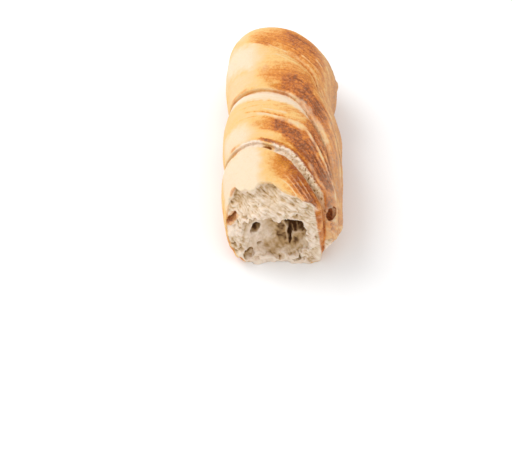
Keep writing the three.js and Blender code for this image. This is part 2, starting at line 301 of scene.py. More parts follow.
def wound(row, angle):
    """Where a row of the straight stick comes to lie along the loaf, and how far it stands out there."""
    fold = np.clip(np.floor(row + 1e-6).astype(int), -1, LAST_FOLD)
    y, relief = np.full(row.shape, -LENGTH), np.zeros(row.shape)
    for number, near in enumerate(SEAMS):
        here = fold == number
        share, turn = row[here] - number, angle[here]
        start, depth = along(near["line"], turn), along(near["depth"], turn)
        lip = ease(share, 0, LIP)
        drop = depth * (1 - lip)
        tuck = np.where(depth > 0, np.minimum(TUCK, depth), 0) * (1 - lip)
        if number == LAST_FOLD:
            swell = mix(FOLD_CREST - 1, END_CREST, ease(share, 0, END_SWELLS_BY))
            y[here] = mix(start, END_Y, share) + tuck
            relief[here] = FOLD_PUFF * swell - drop
            continue
        far = SEAMS[number + 1]
        end = along(far["line"], turn)
        gape = np.minimum(along(far["gape"], turn), (end - start) / 3)
        crust = np.clip(share / CRUST_SHARE, 0, 1)
        trough = np.clip((share - CRUST_SHARE) / (1 - CRUST_SHARE), 0, 1)
        swell = FOLD_CREST - np.abs(2 * crust - 1) ** FOLD_FULLNESS
        sunk = along(far["depth"], turn) * mix(TROUGH_FLOOR, 1, trough) * ease(trough, 0, TROUGH_RISE)
        y[here] = mix(start, end - gape, crust) + gape * trough + tuck
        relief[here] = FOLD_PUFF * swell - drop - sunk
    fades = ease(angle, *LAST_SEAM_FADES) * (1 - ease(angle, *LAST_SEAM_RETURNS))
    fades = fades * ease(row, LAST_FOLD - 0.5, LAST_FOLD - 0.4)
    return y, mix(relief, np.maximum(relief, FOLD_PUFF * END_CREST), fades)


def outwards(x):
    """0 on the near fold, 1 on the outer fold, and smooth over the step between them."""
    return ease(x, OUTER_SIDE, OUTER_SIDE + OUTER_STEP)


def sunk(x, y):
    """The share of its height that the outer fold has lost towards the tear."""
    return OUTER_SINKS * outwards(x) * (1 - ease(y, SINKS_TO, SINKS_FROM))


def laid_down(radius, angle, row):
    """Lays points of the straight stick down into the loaf."""
    y, relief = wound(row, angle)
    wide, high = radius * end_reach(y, BLUNT_ACROSS), radius * end_reach(y, BLUNT_UP)
    from_under = np.abs((angle + 270) % 360 - 180)
    standing = relief * ease(from_under, FLAT_FROM, FLAT_TO) * ease(high, 0, TIP_SMOOTH)
    cos, sin = np.cos(np.radians(angle)), np.sin(np.radians(angle))
    power = oval_power(sin)
    across, up = signed_power(cos, 2 / power), signed_power(sin, 2 / power)
    wander = WANDER_BY * unevenness(across * HEIGHT / 2, y, up * HEIGHT / 2, WANDER_GRAIN)
    x = along(MIDDLE_X, y) + across * ((along(HALF_WIDTH, y) + wander) * wide + standing)
    z = MIDDLE_HEIGHT + up * ((half_height(up) + wander) * high + standing)
    return np.stack([x, y, z * (1 - sunk(x, y))], 1)


def angle_from(across, up):
    """The angle round the loaf, from how far across and up as shares of the half width and half height."""
    power = oval_power(up)
    angle = np.degrees(np.arctan2(signed_power(up, power / 2), signed_power(across, power / 2)))
    return np.where(angle < -90, angle + 360, angle)


def angle_round(places):
    """The angle round the loaf of places on its skin."""
    x, y, z = places.T
    z = z / (1 - sunk(x, y))
    up = (z - MIDDLE_HEIGHT) / half_height(z - MIDDLE_HEIGHT) / np.maximum(end_reach(y, BLUNT_UP), 0.01)
    across = (x - along(MIDDLE_X, y)) / along(HALF_WIDTH, y) / np.maximum(end_reach(y, BLUNT_ACROSS), 0.01)
    return angle_from(across, up)


def torn_section(x, z):
    """For places in the cross-section at the tear: the angle, and the share of the way out to the skin."""
    up = (z - MIDDLE_HEIGHT) / half_height(z - MIDDLE_HEIGHT)
    across = (x - MIDDLE_X[0][1]) / HALF_WIDTH[0][1]
    power = oval_power(up)
    return angle_from(across, up), (np.abs(across) ** power + np.abs(up) ** power) ** (1 / power)


def torn_at(x, z):
    """Where the torn surface lies along the loaf, over a place in its cross-section."""
    angle, share = torn_section(x, z)
    edge = along(TORN_EDGE, angle)
    edge = edge + sum(by * np.sin(np.radians(angle * times + turn)) for by, times, turn in RAGGED)
    lumps = CRUMB_LUMPS * unevenness(x, 0 * x, z, CRUMB_GRAIN)
    main = mix(CRUMB_BEHIND + lumps, edge, ease(share, CRUMB_FROM, 1))
    undercut = OUTER_UNDERCUT * ease(UNDERCUT_SLOPE * x - z, *UNDERCUT_FROM)
    undercut = undercut * ease(x, OUTER_SIDE + 1, OUTER_SIDE + OUTER_STEP)
    outer = OUTER_BACK + lumps + undercut
    return TORN_Y + mix(main, outer, outwards(x))


def behind_tear(places):
    """How far behind the torn surface each place lies."""
    return places[:, 1] - torn_at(places[:, 0], places[:, 2])


def crumb_at(x, z):
    """Where the first crumb lies behind a place in the cross-section at the tear, in the large holes too."""
    surface = torn_at(x, z)
    for at, size in HOLES:
        inside = 1 - ((x - at[0]) / size[0]) ** 2 - ((z - at[2]) / size[2]) ** 2
        back = at[1] + size[1] * np.sqrt(np.maximum(inside, 0))
        surface = np.where(inside > 0, np.maximum(surface, back), surface)
    return surface


# ---- Mesh tools ----
def select_none():
    """Nothing that is already there may be touched by the next operator."""
    if bpy.context.mode != "OBJECT":
        bpy.ops.object.mode_set(mode="OBJECT")
    bpy.ops.object.select_all(action="DESELECT")


def make_active(piece):
    select_none()
    piece.select_set(True)
    bpy.context.view_layer.objects.active = piece


def vectors_of(collection, name):
    flat = np.empty(len(collection) * 3, np.float32)
    collection.foreach_get(name, flat)
    return flat.reshape(-1, 3).astype(float)


def places_of(piece):
    """The places of a mesh's vertices, in millimetres."""
    return vectors_of(piece.data.vertices, "co") / MM


def put_places(piece, places):
    piece.data.vertices.foreach_set("co", (places * MM).astype(np.float32).ravel())
    piece.data.update()


def normals_of(piece):
    return vectors_of(piece.data.vertex_normals, "vector")


def put_attribute(piece, name, values):
    attribute = piece.data.attributes.get(name) or piece.data.attributes.new(name, "FLOAT", "POINT")
    attribute.data.foreach_set("value", np.clip(values, 0, 1).astype(np.float32))


def apply_modifier(piece, kind, **settings):
    make_active(piece)
    modifier = piece.modifiers.new(kind.title(), kind)
    for name, value in settings.items():
        setattr(modifier, name, value)
    bpy.ops.object.modifier_apply(modifier=modifier.name)


def cut_away(piece, cutter):
    """Takes the cutter's solid out of the piece, and removes the cutter."""
    apply_modifier(piece, "BOOLEAN", object=cutter, operation="DIFFERENCE", solver="MANIFOLD")
    bpy.data.objects.remove(cutter)


def merge_solids(pieces, voxel):
    """Joins overlapping closed solids into one."""
    select_none()
    for piece in pieces:
        piece.select_set(True)
    bpy.context.view_layer.objects.active = pieces[0]
    bpy.ops.object.join()
    apply_modifier(pieces[0], "REMESH", mode="VOXEL", voxel_size=voxel * MM)
    return pieces[0]


def face_outwards():
    """Turns all faces of the mesh in edit mode outwards, and leaves edit mode."""
    bpy.ops.mesh.select_all(action="SELECT")
    bpy.ops.mesh.normals_make_consistent(inside=False)
    bpy.ops.object.mode_set(mode="OBJECT")


# ---- The loaf's mesh ----
WELD = 1e-7  # vertices nearer than this, in metres, become one
AROUND = 420
CRUST_ROWS, TROUGH_ROWS, END_ROWS = 84, 14, 150
LIP_CROWDING = 1.5  # above 1, rows lie closer together near a fold's lip


def stick_rows():
    """The rows of the straight stick: each is the number of its fold plus its share of the way across it."""
    crust = (np.arange(CRUST_ROWS) / CRUST_ROWS) ** LIP_CROWDING * CRUST_SHARE
    trough = mix(CRUST_SHARE, 1, np.arange(TROUGH_ROWS) / TROUGH_ROWS)
    rows = [np.array([-1, -1])]
    for fold in range(LAST_FOLD):
        rows += [fold + crust, fold + trough]
    end = np.sin(np.linspace(0, 1, END_ROWS) ** LIP_CROWDING * math.pi / 2)
    return np.concatenate(rows + [LAST_FOLD + end])


def add_stick():
    """A straight stick of dough, wound and laid down into the whole loaf before it was torn."""
    rows = stick_rows()
    bpy.ops.mesh.primitive_grid_add(x_subdivisions=AROUND, y_subdivisions=len(rows) - 1, size=1)
    stick = bpy.context.object
    sheet = places_of(stick) * MM + 0.5
    row = np.rint(sheet[:, 1] * (len(rows) - 1)).astype(int)
    end = (row == 0) | (row == len(rows) - 1)
    angle = np.rint(sheet[:, 0] * AROUND) % AROUND * (360 / AROUND) - 90
    put_places(stick, laid_down(np.where(end, 0.0, 1.0), angle, rows[row]))
    make_active(stick)
    bpy.ops.object.mode_set(mode="EDIT")
    bpy.ops.mesh.select_all(action="SELECT")
    bpy.ops.mesh.remove_doubles(threshold=WELD)
    face_outwards()
    return stick


TEAR_SPACING = 0.45
TEAR_WIDE, TEAR_HIGH, TEAR_LOW, TEAR_DEEP = 100.0, 84.0, -8.0, 130.0
# How far the crumb's strands lean, on the upright part of the torn face and on the shelf above it.
STRAND_LEAN, SHELF_LEAN = math.radians(40), math.radians(35)
SHELF_SLOPE = math.atan(0.5)
SHELF_FROM, SHELF_FULL = 38.0, 46.0
# The side of the near fold and the crumb beside it were not roughened by the tear.
PLAIN_SIDE, PLAIN_ABOVE = (16.5, 20.0), (2.0, 6.0)
# Between these shares of the way out to the skin, the strands give way to the crust's torn edge.
EDGE_SHARE = (0.88, 0.97)


def turned_about_y(lean):
    """Turns rows of places so that what leans lies along X."""
    cos, sin = math.cos(lean), math.sin(lean)
    return np.array([[cos, 0, sin], [0, 1, 0], [-sin, 0, cos]])


def turned_onto_shelf(lean, slope):
    """Turns rows of places so that X lies along the shelf's strands, Y across them and Z out of the shelf."""
    cos, sin, level, fall = math.cos(lean), math.sin(lean), math.cos(slope), math.sin(slope)
    return np.array([[cos, -sin, 0], [-level * sin, -level * cos, -fall], [-fall * sin, -fall * cos, level]])


STRAND_TURN = turned_about_y(STRAND_LEAN)
SHELF_TURN = turned_onto_shelf(SHELF_LEAN, SHELF_SLOPE)


def torn_roughness(x, z):
    """What the torn crumb has on top of its main form: lumps, and strands that run down to the right."""
    flat = np.stack([x, 0 * x, z], 1)
    shelf = ease(z, SHELF_FROM, SHELF_FULL)
    lumps = 1.5 * noise(flat, 7.0, 71) + (0.9 - 0.5 * shelf) * noise(flat, 3.2, 72)
    strands = 1.9 * (0.4 - np.abs(noise(flat @ STRAND_TURN, (13.0, 1.0, 2.0), 73)))
    on_shelf = np.stack([x, z / math.tan(SHELF_SLOPE), z], 1) @ SHELF_TURN
    strands = mix(strands, 2.2 * (0.4 - np.abs(noise(on_shelf, (12.0, 2.4, 6.0), 76))), shelf)
    share = torn_section(x, z)[1]
    edge = 0.8 * noise(flat, 2.2, 74) + 0.8 * noise(flat, 5.0, 75)
    rough = mix(lumps + strands, edge, ease(share, *EDGE_SHARE))
    return rough * (1 - ease(x, *PLAIN_SIDE) * ease(z, *PLAIN_ABOVE))


def add_torn_away():
    """The part of the dough that was torn away: a block whose far face is the torn surface."""
    bpy.ops.mesh.primitive_grid_add(
        x_subdivisions=round(TEAR_WIDE / TEAR_SPACING),
        y_subdivisions=round(TEAR_HIGH / TEAR_SPACING),
        size=1,
        rotation=(math.pi / 2, 0, 0),
    )
    block = bpy.context.object
    bpy.ops.object.transform_apply(rotation=True)
    places = places_of(block) * MM
    x, z = places[:, 0] * TEAR_WIDE, (places[:, 2] + 0.5) * TEAR_HIGH + TEAR_LOW
    put_places(block, np.stack([x, torn_at(x, z) + torn_roughness(x, z), z], 1))
    bpy.ops.object.mode_set(mode="EDIT")
    bpy.ops.mesh.select_all(action="SELECT")
    bpy.ops.mesh.extrude_region_move(TRANSFORM_OT_translate={"value": (0, -TEAR_DEEP * MM, 0)})
    face_outwards()
    return block


def add_bubble(at, size, fineness=4, lean=0.0):
    """An uneven round air hole, turned about Y by its lean."""
    bpy.ops.mesh.primitive_ico_sphere_add(subdivisions=fineness, radius=1)
    bubble = bpy.context.object
    ball = places_of(bubble) * MM
    shifted = (ball + HOLE_GRAIN * np.array(at)).T
    bulge = 1 + HOLE_BULGE * unevenness(*shifted, HOLE_GRAIN)
    ball = ball * bulge[:, None] * np.array(size)
    put_places(bubble, ball @ turned_about_y(-lean) + np.array(at))
    return bubble


# The small air holes: most are near the least size, and they are drawn out along the crumb's strands.
SMALLER_THAN_EVEN = 2.6
HOLES_OUT_TO = 0.93
STRETCH_ALONG, STRETCH_ACROSS = (1.0, 2.6), (0.5, 0.9)
LEAN_SPREAD, SINK = 0.5, (-0.4, 0.25)
CROWDED = 0.85
# They keep off the base, the outer fold and the smooth skin of the large holes, and are few on the shelf.
HOLES_ABOVE, OFF_OUTER_SIDE, SMOOTH_BEHIND = 3.0, 3.0, 1.5
FEW_ABOVE, LARGEST_THERE, LEFT_OUT_THERE = 42.0, 1.2, 0.6
HOLES_VOXEL = 0.4


def add_air_holes(shape):
    """The large holes of the crumb, and small ones packed side by side over the torn face, as one solid."""
    large = [(at, size, HOLE_LEANS.get(number, 0.0)) for number, (at, size) in enumerate(HOLES)]
    bubbles = [add_bubble(at, size, lean=lean) for at, size, lean in large]
    bubbles += [add_bubble(at, size) for at, size in (POCKET_JOIN, FLOOR_SLIT, *SEAM_HOLES)]
    draw = np.random.RandomState(shape.seed)
    least, most = shape.hole_least / MM / 2, shape.hole_most / MM / 2
    halves = mix(least, most, draw.uniform(size=shape.small_holes) ** SMALLER_THAN_EVEN)
    placed = []
    for half in sorted(halves, reverse=True):
        turn, out = draw.uniform(0, 2 * math.pi), math.sqrt(draw.uniform()) * HOLES_OUT_TO
        x = out * math.cos(turn) * HALF_WIDTH[0][1]
        z = MIDDLE_HEIGHT + out * math.sin(turn) * float(half_height(math.sin(turn)))
        stretch = [draw.uniform(*reach) for reach in (STRETCH_ALONG, STRETCH_ACROSS, STRETCH_ACROSS)]
        lean, sink = STRAND_LEAN + draw.normal() * LEAN_SPREAD, draw.uniform(*SINK)
        plain, surface = (float(tear(np.array(x), np.array(z))) for tear in (torn_at, crumb_at))
        smooth = surface > plain + SMOOTH_BEHIND
        at = np.array([x, surface + sink * half, z])
        crowded = any(np.linalg.norm(at - other) < CROWDED * (half + width) for other, width in placed)
        shelf = z > FEW_ABOVE and (half > LARGEST_THERE or draw.uniform() < LEFT_OUT_THERE)
        if z < HOLES_ABOVE or x > OUTER_SIDE - OFF_OUTER_SIDE - half or smooth or crowded or shelf:
            continue
        placed.append((at, half))
        bubbles.append(add_bubble(tuple(at), half * np.array(stretch), 3 if half > 1 else 2, lean))
    return merge_solids(bubbles, HOLES_VOXEL)


FLOOR_BLOCK = (0.4, 0.8, 0.1)  # in metres


def add_floor_block():
    """What the flat base is cut with."""
    bpy.ops.mesh.primitive_cube_add(size=1, location=(0, 0, -FLOOR_BLOCK[2] / 2), scale=FLOOR_BLOCK)
    block = bpy.context.object
    bpy.ops.object.transform_apply(location=True, scale=True)
    return block


CRUMB_REACHES = -60.0  # no torn crumb lies further along the loaf


def skin_depths(places, stick_tree):
    """How far each place lies below the skin of the loaf before it was torn, in millimetres."""
    depth = np.zeros(len(places))
    near = np.flatnonzero(places[:, 1] < CRUMB_REACHES)
    depth[near] = [stick_tree.find_nearest(place)[3] / MM for place in places[near] * MM]
    return depth


# ---- Where a place lies in the twist ----
DEGREE = 0.62  # millimetres round the loaf for each degree
NEARBY = 3  # degrees to either side, over which a seam's slope is taken
FOLDS_APART = 40.0  # keeps the noise of one fold from running on into the next


def slope_of(line, angle):
    """How steeply a line of (angle, place along the loaf) climbs along the loaf."""
    return (along(line, angle + NEARBY) - along(line, angle - NEARBY)) / (2 * NEARBY) / DEGREE


class Twist:
    """For places on the skin: the angle round the loaf, the fold, and how far across it they lie."""

    def __init__(self, places):
        self.places = places
        self.angle = angle_round(places)
        y = places[:, 1]
        lines = np.stack([along(seam["line"], self.angle) for seam in SEAMS] + [np.full(len(y), END_Y)])
        slopes = np.stack([slope_of(seam["line"], self.angle) for seam in SEAMS] + [np.zeros(len(y))])
        self.fold = (y >= lines[1:-1]).sum(0)
        near, far = self.fold[None], self.fold[None] + 1
        start, end = (np.take_along_axis(lines, seam, 0)[0] for seam in (near, far))
        slope, far_slope = (np.take_along_axis(slopes, seam, 0)[0] for seam in (near, far))
        self.share = (y - start) / (end - start)
        square = 1 / np.sqrt(1 + mix(slope, far_slope, self.share) ** 2)
        self.length = (end - start) * square  # across the fold, square to it
        self.behind = (y - start) * square  # from the seam nearer the torn end
        self.arc = self.angle * DEGREE / square  # along the fold
        self.wobble = 0.35 * noise(places, 7.0, 3) + 0.25 * noise(places, 3.0, 9)
        self.turn = self.angle + 4 * noise(places, 6.0, 12)
        self.broken = ease(noise(places, (4.0, 7.0, 4.0), 18), -0.35, 0.35)

    def strands(self, across, lengthwise, seed=0, octaves=3):
        """Noise drawn out along the folds."""
        flow = np.stack([self.behind, self.arc, self.fold * FOLDS_APART], 1)
        return fractal(flow, (across, lengthwise, 10.0), seed, octaves)


# ---- What the oven and the baker left on the crust ----
def patch(twist, fold, line, half_width, soft=0.8, ends=7.0, rough=1.0):
    """How much of each place a patch covers, 0 to 1.

    It lies on one fold, along a line of (angle, share of the way across the fold), with a half width in
    millimetres. Its edge is soft by a share of that, and its ends by some degrees.
    """
    line = sorted(line)
    first, last = line[0][0], line[-1][0]
    centre = along(line, twist.angle)
    off = np.abs(twist.share - centre) * twist.length
    body = 1 - ease(off + half_width * rough * twist.wobble, half_width * (1 - soft), half_width * (1 + soft))
    turn = twist.turn
    inside = ease(turn, first - ends, first + ends) * (1 - ease(turn, last - ends, last + ends))
    return body * inside * (twist.fold == fold)


BAKED = [
    # fold, line, half width, strength
    (3, [(122, 0.14), (108, 0.22), (92, 0.28), (75, 0.3)], 11.0, 0.25),
    (3, [(112, 0.1), (104, 0.12), (96, 0.13)], 3.0, 0.2),
    (3, [(80, 0.38), (70, 0.32), (60, 0.26), (45, 0.25)], 9.0, 0.27),
    (3, [(80, 0.6), (60, 0.5), (45, 0.5)], 7.0, 0.3),
    (2, [(114, 0.3), (100, 0.34), (90, 0.45), (76, 0.5), (60, 0.6)], 8.0, 0.22),
    (2, [(92, 0.22), (84, 0.2), (76, 0.18), (64, 0.24), (50, 0.3)], 6.5, 0.36),
    (2, [(104, 0.1), (88, 0.07)], 2.6, 0.22),
    (2, [(60, 0.2), (45, 0.25), (30, 0.3)], 6.0, 0.2),
    (2, [(74, 0.055), (68, 0.075)], 1.3, 0.5),
    (1, [(118, 0.32), (98, 0.36)], 4.5, 0.24),
    (1, [(100, 0.38), (92, 0.36), (84, 0.33), (74, 0.28)], 5.0, 0.6),
    (1, [(78, 0.3), (65, 0.29), (52, 0.29), (40, 0.3)], 6.0, 0.55),
    (1, [(72, 0.82), (55, 0.78), (35, 0.7)], 8.0, 0.36),
    (0, [(100, 0.84), (92, 0.8), (74, 0.78), (60, 0.8)], 9.0, 0.24),
    (0, [(92, 0.93), (80, 0.92), (66, 0.92), (50, 0.95)], 3.5, 0.28),
    (0, [(84, 0.74), (78, 0.72), (66, 0.7), (55, 0.72)], 5.0, 0.34),
]
FLOURED = [
    # fold, line, half width, strength, how far its ends fade in degrees
    (3, [(180, 0.5), (150, 0.5), (132, 0.45)], 6.0, 0.5, 10.0),
    (2, [(170, 0.6), (132, 0.66), (114, 0.72)], 12.0, 0.95, 14.0),
    (2, [(165, 0.15), (135, 0.2), (120, 0.2)], 8.0, 0.35, 14.0),
    (1, [(165, 0.9), (120, 0.95), (100, 0.97), (85, 0.96), (74, 0.98)], 4.5, 0.85, 9.0),
    (1, [(165, 0.2), (137, 0.22), (120, 0.14)], 8.5, 0.85, 12.0),
    (0, [(168, 0.6), (130, 0.66), (110, 0.7)], 30.0, 1.0, 5.0),
]
# Where the crust baked smooth and clear orange.
GLAZED = [
    # fold, line, half width, strength
    (0, [(98, 0.86), (88, 0.9), (76, 0.88), (62, 0.9), (48, 0.95)], 5.5, 1.0),
    (0, [(100, 0.75), (92, 0.74)], 4.0, 0.6),
    (1, [(96, 0.12), (84, 0.1), (72, 0.09), (58, 0.08)], 2.6, 0.9),
    (2, [(106, 0.12), (92, 0.1)], 3.0, 0.7),
    (3, [(116, 0.16), (104, 0.14)], 4.0, 0.4),
    (1, [(118, 0.34), (104, 0.36)], 4.0, 0.5),
]
# Narrow streaks along the folds: fold, line, half width, height in millimetres and paleness. A negative
# height is a crack, and a negative paleness is a dark streak.
STREAKS = [
    (3, [(101, 0.03), (92, 0.03), (84, 0.02)], 0.8, 0.2, 0.3),
    (3, [(84, 0.07), (74, 0.055), (62, 0.04), (50, 0.035)], 0.8, 0.3, 0.25),
    (3, [(70, 0.14), (58, 0.12), (44, 0.12)], 0.7, 0.3, 0.25),
    (3, [(56, 0.24), (42, 0.22), (26, 0.22)], 0.9, 0.4, 0.45),
    (3, [(44, 0.38), (32, 0.36), (18, 0.36)], 0.9, 0.4, 0.45),
    (2, [(96, 0.86), (86, 0.82), (78, 0.84)], 0.8, 0.2, 0.25),
    (2, [(86, 0.0), (76, 0.015), (66, 0.04), (54, 0.07), (42, 0.1)], 1.5, 0.3, 0.6),
    (2, [(48, 0.4), (36, 0.42), (20, 0.45)], 1.2, 0.4, 0.45),
    (2, [(50, 0.55), (36, 0.56), (20, 0.58)], 0.8, -0.5, -0.4),
    (2, [(44, 0.7), (32, 0.68), (16, 0.7)], 1.0, 0.4, 0.45),
    (1, [(124, 0.56), (112, 0.55), (100, 0.54), (90, 0.54)], 0.7, -0.6, -0.5),
    (1, [(112, 0.5), (104, 0.51), (95, 0.49), (86, 0.5), (74, 0.55)], 1.2, 0.5, 0.6),
    (1, [(106, 0.61), (97, 0.6), (88, 0.61)], 0.6, 0.3, 0.5),
    (1, [(132, 0.66), (118, 0.67), (104, 0.68)], 0.5, -0.3, -0.35),
    (1, [(128, 0.76), (112, 0.78), (98, 0.79)], 0.5, -0.3, -0.35),
    (1, [(136, 0.46), (124, 0.45), (114, 0.46)], 0.5, -0.3, -0.35),
    (1, [(80, 0.56), (72, 0.6), (66, 0.58), (53, 0.535), (42, 0.49), (33, 0.5)], 1.05, 0.5, 0.75),
    (1, [(70, 0.46), (58, 0.43), (44, 0.38)], 0.9, 0.4, 0.3),
    (1, [(66, 0.37), (54, 0.36), (42, 0.34)], 0.7, -0.4, -0.3),
    (1, [(64, 0.66), (50, 0.62), (38, 0.6)], 0.8, -0.5, -0.4),
    (1, [(60, 0.74), (48, 0.7), (36, 0.68)], 0.9, 0.4, 0.35),
    (1, [(66, 0.15), (56, 0.14), (44, 0.13)], 1.3, 0.2, 0.4),
    (0, [(92, 0.66), (86, 0.62), (79, 0.54)], 0.6, 0.2, 0.5),
    (0, [(88, 0.72), (80, 0.65), (73, 0.58)], 0.5, 0.2, 0.45),
    (0, [(84, 0.77), (77, 0.71), (69, 0.65)], 0.6, 0.2, 0.45),
    (0, [(79, 0.83), (72, 0.77), (65, 0.72)], 0.5, 0.2, 0.4),
]
STREAK_SHAPE = {"soft": 0.9, "ends": 3.0, "rough": 1.3}
# Along each seam but the first: how bare the crumb lies and how much wider than the trough, how far the pale
# dough reaches onto the fold beyond it, and how brown the lip is. They go by angle.
SEAM_FINISH = [
    {
        "bare": [(42, 0), (54, 0.9), (96, 1), (99, 0.2), (106, 0.2), (110, 0.9), (132, 0.8), (146, 0)],
        "wide": [(40, 2.5), (60, 4.6), (85, 4.4), (96, 3.5), (112, 3), (140, 2.2)],
        "pale": [(0, 0)],
        "lip": [
            (54, 0.3), (70, 0.5), (92, 0.4), (100, 0.75), (106, 0.7), (114, 0.2), (136, 0.2), (144, 0.6),
            (152, 0.1),
        ],
    },
    {
        "bare": [(40, 0.5), (90, 0.3), (150, 0.2)],
        "wide": [(0, 0)],
        "pale": [(40, 0), (62, 0), (74, 4.5), (84, 7), (120, 7), (160, 5), (180, 3), (198, 0)],
        "lip": [(110, 0.1), (140, 0.35), (165, 0.3)],
    },
    {"bare": [(0, 0.1)], "wide": [(0, 0)], "pale": [(0, 0)], "lip": [(0, 0.0)]},
]


class SeamMarks:
    """What lies along the seams: bare crumb in the troughs, pale dough beside them and browned lips above."""

    def __init__(self, twist):
        places, angle = twist.places, twist.angle
        self.bare = np.zeros(len(places))
        self.pale, self.lip = self.bare.copy(), self.bare.copy()
        ragged = 0.5 * noise(places, 2.2, 14) + 0.5 * noise(places, 5.0, 15)
        strands = twist.strands(1.8, 18.0, 47)
        for seam, finish in zip(SEAMS[1:], SEAM_FINISH):
            short = along(seam["line"], angle) - places[:, 1]
            gape, reach = along(seam["gape"], angle), along(finish["pale"], angle)
            deep = ease(along(seam["depth"], angle), 0.2, 1.2)
            wide = along(finish["wide"], angle) * (1 + 0.3 * ragged)
            trough = ease(short + 0.5 * ragged, -1.6 - 0.5 * wide, -0.9 - 0.5 * wide)
            trough = trough * (1 - ease(short + ragged, gape, gape + 1))
            self.bare = np.maximum(self.bare, trough * deep * along(finish["bare"], angle))
            end = gape + reach
            beside = ease(short, -0.8, 0) * (1 - ease(short + 2.2 * ragged, end - 3, end + 1.5))
            beside = beside * (1 - 0.6 * ease(strands, 0, 0.4) * ease(short, gape, gape + 1.5))
            self.pale = np.maximum(self.pale, beside * deep * (reach > 0.1))
            above = -short - 0.5 * wide
            above = ease(above, 0.8, 1.4) * (1 - ease(above + 1.2 * ragged, 2.4, 4.6))
            self.lip = np.maximum(self.lip, above * deep * along(finish["lip"], angle))


def crust_masks(twist, marks):
    """How dark the crust baked, how much flour lies on it and how smooth it baked, 0 to 1."""
    places, angle = twist.places, twist.angle
    right = 1 - ease(angle, 60, 128)
    behind_left = ease(angle, 165, 215)
    flank = (1 - ease(angle, 22, 48)) * ease(angle, -45, -5)
    baked = 0.14 + 0.28 * right + 0.3 * behind_left + 0.1 * flank
    for fold, line, half_width, strength in BAKED:
        baked = baked + strength * patch(twist, fold, line, half_width)
    baked = np.minimum(baked, 0.95)
    low_right = (1 - ease(angle, 30, 62)) * ease(angle, -60, 0)
    floured = 0.02 + 0.24 * low_right
    for fold, line, half_width, strength, ends in FLOURED:
        floured = np.maximum(floured, strength * patch(twist, fold, line, half_width, 0.5, ends))
    glazed = np.zeros(len(places))
    for fold, line, half_width, strength in GLAZED:
        glazed = np.maximum(glazed, strength * patch(twist, fold, line, half_width, 0.9))
    mottle = fractal(places, 9.0, 21)
    streaks = twist.strands(1.8, 24.0, 31)
    lines = twist.strands(1.1, 16.0, 33)
    blisters = 0.5 - cells(places, 2.4, 91)
    hidden = np.maximum(1 - ease(angle, -10, 35), ease(angle, 165, 200))
    crest = np.clip(1 - (2 * twist.share / CRUST_SHARE - 1) ** 2, 0, 1)
    baked = baked + hidden * (0.16 * crest + 0.22 * mottle)
    baked = baked + 0.1 * mottle + (0.08 + 0.2 * right * (1 - 0.5 * flank)) * streaks
    baked = baked + (0.08 + 0.12 * right) * lines
    baked = baked + 0.3 * baked * blisters
    granular = ease(baked, 0.4, 0.75) * (1 - glazed)
    floured = floured * (1 + 0.25 * mottle) + 0.35 * low_right * np.maximum(streaks, 0)
    floured = np.maximum(floured, 0.03 * granular)
    for fold, line, half_width, _, paleness in STREAKS:
        streak = patch(twist, fold, line, half_width, **STREAK_SHAPE) * mix(0.5, 1, twist.broken)
        baked = baked - 0.5 * paleness * streak
        floured = np.maximum(floured, 0.75 * paleness * streak)
    spots = within(places, SPOTS)
    baked = mix(baked + marks.lip + spots, 0.06, marks.pale)
    floured = mix(floured * (1 - marks.lip) * (1 - 1.5 * np.minimum(spots, 0.6)), 0.85, 0.9 * marks.pale)
    side_wall = near_fold_side(places)
    strands = torn_strands(places)
    baked = baked + 0.35 * strands
    floured = floured + 0.5 * np.maximum(-strands, 0)
    baked = mix(baked, 0.7 + 0.2 * mottle, side_wall)
    return baked, floured * (1 - 0.8 * side_wall), glazed * (1 - marks.pale)


# Where along the loaf the outer fold is no longer torn, and the near fold's side is no longer bare.
SUNKEN_ENDS, SIDE_ENDS = (-84.0, -76.0), (-82.0, -77.0)
# That side is bared up to this height. Its edge leans, and lies this far before the step at its middle.
SIDE_TOP, SIDE_BEFORE, SIDE_LEAN, SIDE_MIDDLE = (53.0, 57.0), 1.8, 0.14, 37.0


def torn_strands(places):
    """The slanting strands of the outer fold where it has sunk towards the tear, -1 to 1, and 0 elsewhere."""
    x, y, _ = places.T
    on_sunken_fold = ease(x, OUTER_SIDE + 2, OUTER_SIDE + 4) * (1 - ease(y, *SUNKEN_ENDS))
    return noise(places @ STRAND_TURN, (9.0, 12.0, 1.5), 35) * on_sunken_fold


def near_fold_side(places):
    """1 on the side of the near fold that the sunken outer fold bares, 0 elsewhere."""
    x, y, z = places.T
    start = OUTER_SIDE - SIDE_BEFORE + SIDE_LEAN * (SIDE_MIDDLE - z)
    end = OUTER_SIDE + OUTER_STEP
    across = ease(x, start - 0.5, start + 0.5) * (1 - ease(x, end - 0.4, end + 0.8))
    return across * (1 - ease(y, *SIDE_ENDS)) * (1 - ease(z, *SIDE_TOP))


def browned_holes(places):
    """How brown the skin of the browned holes is, 0 away from them."""
    brown = np.zeros(len(places))
    for at, size, lean, strength in BROWNED_HOLES:
        off = (places - at) @ turned_about_y(lean)
        reach = ((off / (np.array(size) + 0.8)) ** 2).sum(1) + 0.2 * noise(places, 3.0, 97)
        brown = np.maximum(brown, strength * (1 - ease(reach, 0.9, 1.3)))
    return brown


def within(places, spots, ragged=0.3):
    """How strongly rounded spots hold at each place. Each is a place, half sizes and a strength."""
    strongest = np.zeros(len(places))
    for at, size, strength in spots:
        reach = (((places - at) / np.array(size)) ** 2).sum(1) + ragged * noise(places, 2.5, 94)
        strongest = np.maximum(strongest, strength * (1 - ease(reach, 0.5, 1.2)))
    return strongest


# ---- What a user can change ----
def length(name, description, default):
    return FloatProperty(name=name, description=description, default=default, unit="LENGTH")


def whole(name, description, default):
    return IntProperty(name=name, description=description, default=default)


